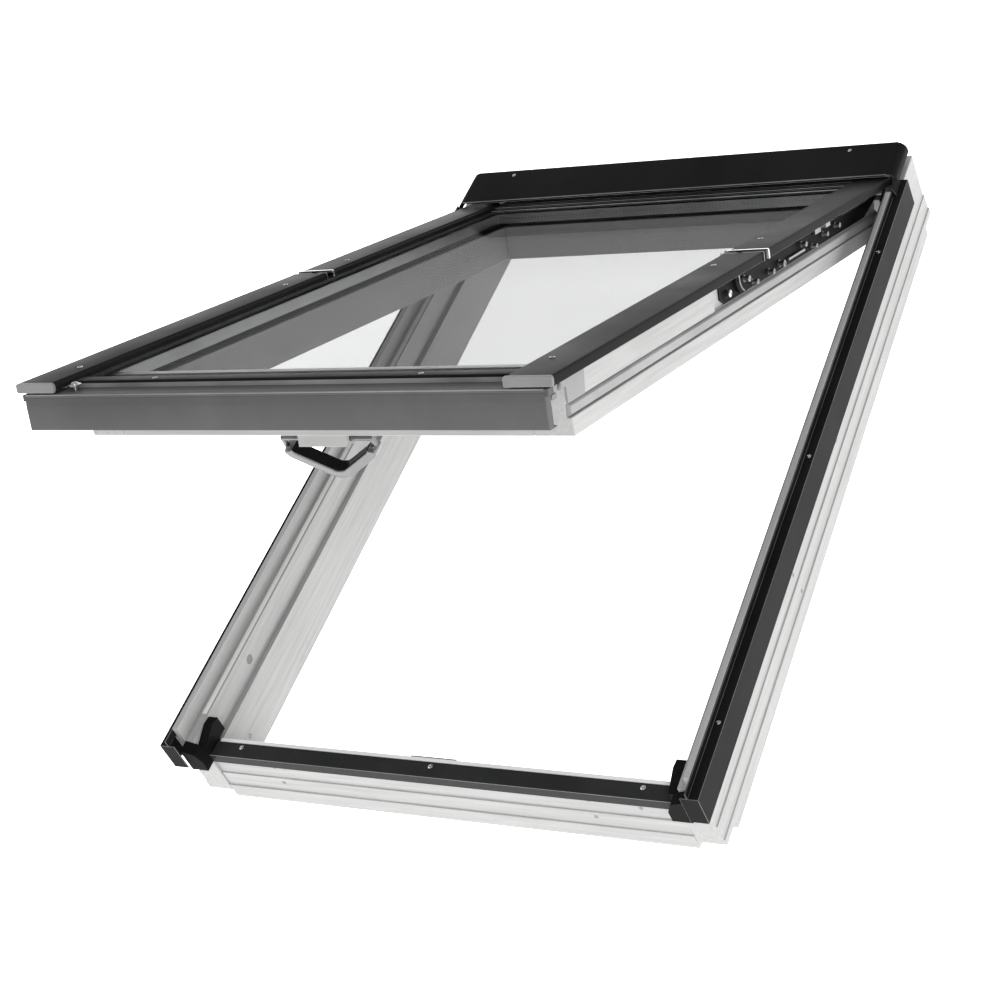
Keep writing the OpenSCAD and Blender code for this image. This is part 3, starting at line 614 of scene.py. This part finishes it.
# bright strips where the side covers meet: one caps the upper cover's end, a thin one edges the lower
jointStrip = {"inner": 309.6, "outer": 369.6, "innerLow": 11, "outerLow": 7.4, "top": 20.2, "sheet": 1.0, "bend": 1.6,
              "upper": (534.4, 538.8), "lower": (553.4, 554.8)}


def stripCap(c, ends, rise):
    # a bent strip over the cover: up the inner side, across the top and down the outer side
    top = c["top"] + rise
    line = [(c["inner"], c["innerLow"]), (c["inner"], top), (c["outer"], top), (c["outer"], c["outerLow"])]
    return carried(folded(line, c["sheet"], c["bend"]), ends, "v", hang, strip=True)


upperCap, lowerCap = stripCap(jointStrip, jointStrip["upper"], 0.0), stripCap(jointStrip, jointStrip["lower"], -0.5)
jointShapes = [(s, finish("bright")) for s in (upperCap, otherSide(upperCap))]
jointShapes.append((cadCopy("cover_edge_clips"), finish("zinc")))
piece("joint_strips", "lift_arms", ["cover_edge_clips"], jointShapes, 0.2)
piece("joint_edges", "sash", (), [(s, finish("zinc")) for s in (lowerCap, otherSide(lowerCap))], 0.2)

# thin bright rods along x at the steps of the covers, painted highlight and reflection lines on those steps: places
# and radii
highlightLines = {"topSteps": ((16.2, 16.8, 0.7), (30.2, 13.8, 0.7), (46.2, 11.3, 0.6)), "half": 309,
         "hood": (1102.0, 156.6, 0.8, 369), "lip": (1166.2, 5.0, 0.9, 357)}


def highlightRod(half, a, b, radius, place):
    # a thin rod from -half to half along x at the place (a, b)
    path = np.stack([np.linspace(-half, half, 3), np.full(3, float(a)), np.full(3, float(b))], 1)
    return tube(path, radius, place, 10)


# bright metal rods across the top steps: painted highlight and reflection lines, not real parts
piece("top_step_highlight_rods", "sash", (),
      [(highlightRod(highlightLines["half"], v, n, w, hang), finish("bright")) for v, n, w in highlightLines["topSteps"]])
# lighter rods along the front edges of the hood and of the cladding lip: painted highlight lines on those edges
y, z, w, half = highlightLines["hood"]
piece("hood_edge_highlight_rod", "frame", (), [(highlightRod(half, y, z, w, flat), finish("greyEdge"))])
v, n, w, half = highlightLines["lip"]
piece("cladding_edge_highlight_rod", "sash", (), [(highlightRod(half, v, n, w, hang), finish("greyEdge"))])
# the cover along the lower edge of the glass: a dark cap and a lighter foot below its front edge
lowCover = {"front": 1133.5, "back": 1112.5, "top": 14, "capDepth": 3.2, "glass": 9.5, "foot": 5.5, "half": 309.5,
            "sheet": 1.5}
thick, width = lowCover["sheet"], (-lowCover["half"], lowCover["half"])
rear, front, top = lowCover["back"] + thick / 2, lowCover["front"] - thick / 2, lowCover["top"]
capFoot = (front, top - lowCover["capDepth"])
capLine = [(rear, lowCover["glass"]), (rear, top - thick / 2), (front, top - thick / 2), capFoot]
lowCap = carried(folded(capLine, thick, 1.4), width, "x", hang, strip=True)
lowFoot = carried(folded([capFoot, (front, lowCover["foot"])], thick, 0.5), width, "x", hang, strip=True)
piece("low_glass_cover", "sash", ["bottom_glass_cover"],
      [(lowCap, finish("darkCoat")), (lowFoot, finish("greyEdge"))], 0.2)

# perforations of the spacer: a row of small bright discs lying on its face
holes = {"v": 42.1, "n": -2.5, "radius": 1.1, "pitch": 6.0, "half": 290, "sides": 8}
hx = np.arange(-holes["half"], holes["half"] + 1, holes["pitch"])
ang = np.linspace(0, 2 * np.pi, holes["sides"], endpoint=False)
ring = np.stack([np.cos(ang), 0 * ang, np.sin(ang)], 1) * holes["radius"]
centres = np.stack([hx, 0 * hx + holes["v"], 0 * hx + holes["n"]], 1)
discs = (centres[:, None] + ring[None]).reshape(-1, 3)
discFaces = np.arange(len(discs)).reshape(-1, holes["sides"])[:, ::-1].tolist()
perforated = bpy.data.meshes.new("spacer_holes")
perforated.from_pydata(hang(discs).tolist(), [], discFaces)
perforated.materials.append(finish("bright"))
spacerHoles = bpy.data.objects.new("spacer_holes", perforated)
scene.collection.objects.link(spacerHoles)
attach(spacerHoles, "sash")
print("fine lines done")

# pilot holes of the timber, in the sill's front, the right jamb's outer side and the left jamb's inner side; each is
# a near-flat cup painted dark grey, painted shade standing in for the shade inside the hole
marks = {"sill": ((-249.5, 42.6), (-250.9, 74.2), (223, 42.9), (222.2, 74.3), (292.1, 69)), "sillY": (1.9, 3.9),
         "jamb": ((383.9, 67), (385.6, 32.9)), "jambX": (386.1, 388.1),
         "leftHole": (77.2, 33.9), "leftX": -350.05, "leftRadius": 3.2,
         "radius": 2.4, "layer": 52}


def pilotHole(centre, way, radius):
    # a shallow countersunk cup: its height falls from the lip to a flat floor as the radius shrinks
    profile = [(radius * share, height) for share, height in
               ((1.25, -0.05), (1.2, 0.12), (1, 0.14), (0.8, 0.06), (0.15, 0.04))]
    return turned(profile, centre, way, flat, 14)


cups = [pilotHole((x, marks["sillY"][0 if z < marks["layer"] else 1] - 0.1, z), "v", marks["radius"])
        for x, z in marks["sill"]]
cups += [pilotHole((marks["jambX"][0 if z > marks["layer"] else 1] - 0.05, y, z), "x", marks["radius"])
         for y, z in marks["jamb"]]
cups.append(pilotHole((marks["leftX"], *marks["leftHole"]), "x", marks["leftRadius"]))
# the dark grey of the cups is painted shade of the holes' insides
piece("pilot_holes_painted_shade", "frame", (), [(k, finish("plugMouldAndHoleShade")) for k in cups])

# clips on the sash's end blocks: two small latches as (v, v, n, n) and a button, soft at their edges
endClips = {"plate": 340.5, "out": 342.7,
            "blocks": ((1128, 1134.5, -6, 4), (1112, 1124, -19, -13)), "button": (1101, -10, 4.2)}
clipParts = []
for v0, v1, n0, n1 in endClips["blocks"]:
    start = ((v0 + v1) / 2, n0)
    ring = rounded([start, (v1, n0), (v1, n1), (v0, n1), (v0, n0), start], 1.6, 4)[:-1]
    clipParts.append(carried(ring, (endClips["plate"] - 0.2, endClips["out"]), "x", hang))
bv, bn, br = endClips["button"]
buttonDome = [(br, 0), (br, 1.2), (br * 0.8, 1.8), (br * 0.3, 2.0)]
clipParts.append(turned(buttonDome, (endClips["plate"], bv, bn), "x", hang, 22))
clipParts += [otherSide(k) for k in clipParts]
piece("end_block_clips", "sash", (), [(k, finish("capMould")) for k in clipParts], 0.3)
print("small marks and clips done")

# handle: a flat strip carried along a wide bow, with two eyes on an axle
handle = {"v": 1059, "n": -80, "half": 66, "drop": 60, "flat": 7, "band": 20, "thick": 6.2, "lean": 29, "axle": 3.5}


def onHandle(p):
    # the bow is drawn hanging straight from its axle, then leans up the slope by its angle
    p = np.asarray(p, float)
    c, s = math.cos(math.radians(handle["lean"])), math.sin(math.radians(handle["lean"]))
    y = p[..., 1] * c - p[..., 2] * s
    z = p[..., 1] * s + p[..., 2] * c
    return hang(np.stack([p[..., 0], handle["v"] - y, handle["n"] + z], -1))


def handleShapes(h):
    # the bow is a flat strip along a rounded line, thinned towards its ends by the square of the distance;
    # a thin black sheet on its inner side is painted shade on the bow's inner face, and an eye joins each end to the
    # axle
    t, half, floor = h["thick"], h["half"] - h["thick"], h["thick"] - h["drop"]
    line = [(-half, 0, -10.0), (-half, 0, -14), (-half + 3, 0, -20), (-h["flat"], 0, floor),
            (h["flat"], 0, floor), (half - 3, 0, -20), (half, 0, -14), (half, 0, -10.0)]
    path = rounded(line, 7, 6)
    along = np.linspace(0, 1, len(path))
    grow = 1 - 0.5 * np.clip(1 - np.minimum(along, 1 - along) / 0.16, 0, 1) ** 2
    bow = tube(path, 0, onHandle, 28, (t, h["band"] / 2, 0.3), grow)
    way = np.gradient(path, axis=0)
    way /= np.linalg.norm(way, axis=1)[:, None]
    inward = np.stack([-way[:, 2], 0 * way[:, 0], way[:, 0]], 1)
    # painted shade: a thin black sheet along the bow's inner face
    innerShadeSheet = tube((path + inward * (t - 0.3))[5:-5], 0, onHandle, 20, (0.8, h["band"] / 2 - 1.6, 0.3))
    ends = [tube([(x, 0, -11.5), (x, 0, -5.0), (x, 0, 0.0)], 0, onHandle, 20, (2.3, 3.4, 0.4))
            for x in (-h["half"] + 2.6, h["half"] - 2.6)]
    end, shoulder = h["half"] - 0.5, h["half"] - 0.7
    rod = [(0.8, -end), (h["axle"], -shoulder), (h["axle"], shoulder), (0.8, end)]
    axle = turned(rod, (0, h["v"], h["n"]), "x", hang, 24)
    return [bow, innerShadeSheet, axle] + ends


# the second coat, black, is the painted shade sheet on the bow's inner face
handleCoats = ("handleAlloy", "blackMould", "handleAlloy", "handleAlloy", "handleAlloy")
piece("handle_bow", "handle", ["handle_lever"],
      [(s, finish(k)) for s, k in zip(handleShapes(handle), handleCoats)], smooth=45)
print("handle done")

# floor and lights: each light has its place, size, power and whether glossy surfaces mirror it
studio = {"floor": 0.9, "halfFloor": 30, "level": -0.0005, "world": 0.55, "glow": 1.6, "aim": (0, 0.6, 0.3),
          "lights": (((2.8, -2.6, 3.0), 1.8, 90, True), ((-2.8, -0.6, 2.4), 2.4, 25, True),
                     ((-0.6, 4.0, 2.4), 2.0, 30, False))}
floorMesh = bpy.data.meshes.new("floorMesh")
side, level = studio["halfFloor"], studio["level"]
floorMesh.from_pydata([(-side, -side, level), (side, -side, level), (side, side, level), (-side, side, level)],
                      [], [(0, 1, 2, 3)])
floor = bpy.data.objects.new("studioFloor", floorMesh)
scene.collection.objects.link(floor)
floorCoat = bpy.data.materials.new("paleFloor")
floorCoat.use_nodes = True
floorShader = floorCoat.node_tree.nodes["Principled BSDF"]
floorShader.inputs["Base Color"].default_value = (*[studio["floor"]] * 3, 1)
floorShader.inputs["Roughness"].default_value = 0.9
floorShader.inputs["Specular IOR Level"].default_value = 0.1
floorShader.inputs["Emission Color"].default_value = (1, 1, 1, 1)
floorShader.inputs["Emission Strength"].default_value = studio["glow"]
floorCoat.cycles.emission_sampling = "NONE"
floorMesh.materials.append(floorCoat)
world = bpy.data.worlds.new("studioWorld")
world.use_nodes = True
sky = world.node_tree.nodes["Background"]
sky.inputs["Color"].default_value = (1, 1, 1, 1)
sky.inputs["Strength"].default_value = studio["world"]
scene.world = world
for i, (place, size, power, inGloss) in enumerate(studio["lights"]):
    lamp = bpy.data.lights.new(f"softLight{i}", "AREA")
    lamp.shape, lamp.size, lamp.energy = "SQUARE", size, power
    o = bpy.data.objects.new(f"softLight{i}", lamp)
    scene.collection.objects.link(o)
    o.visible_glossy = inGloss
    aim = Vector(studio["aim"]) - Vector(place)
    o.matrix_world = Matrix.Translation(Vector(place)) @ aim.to_track_quat("-Z", "Y").to_matrix().to_4x4()
print("studio set")
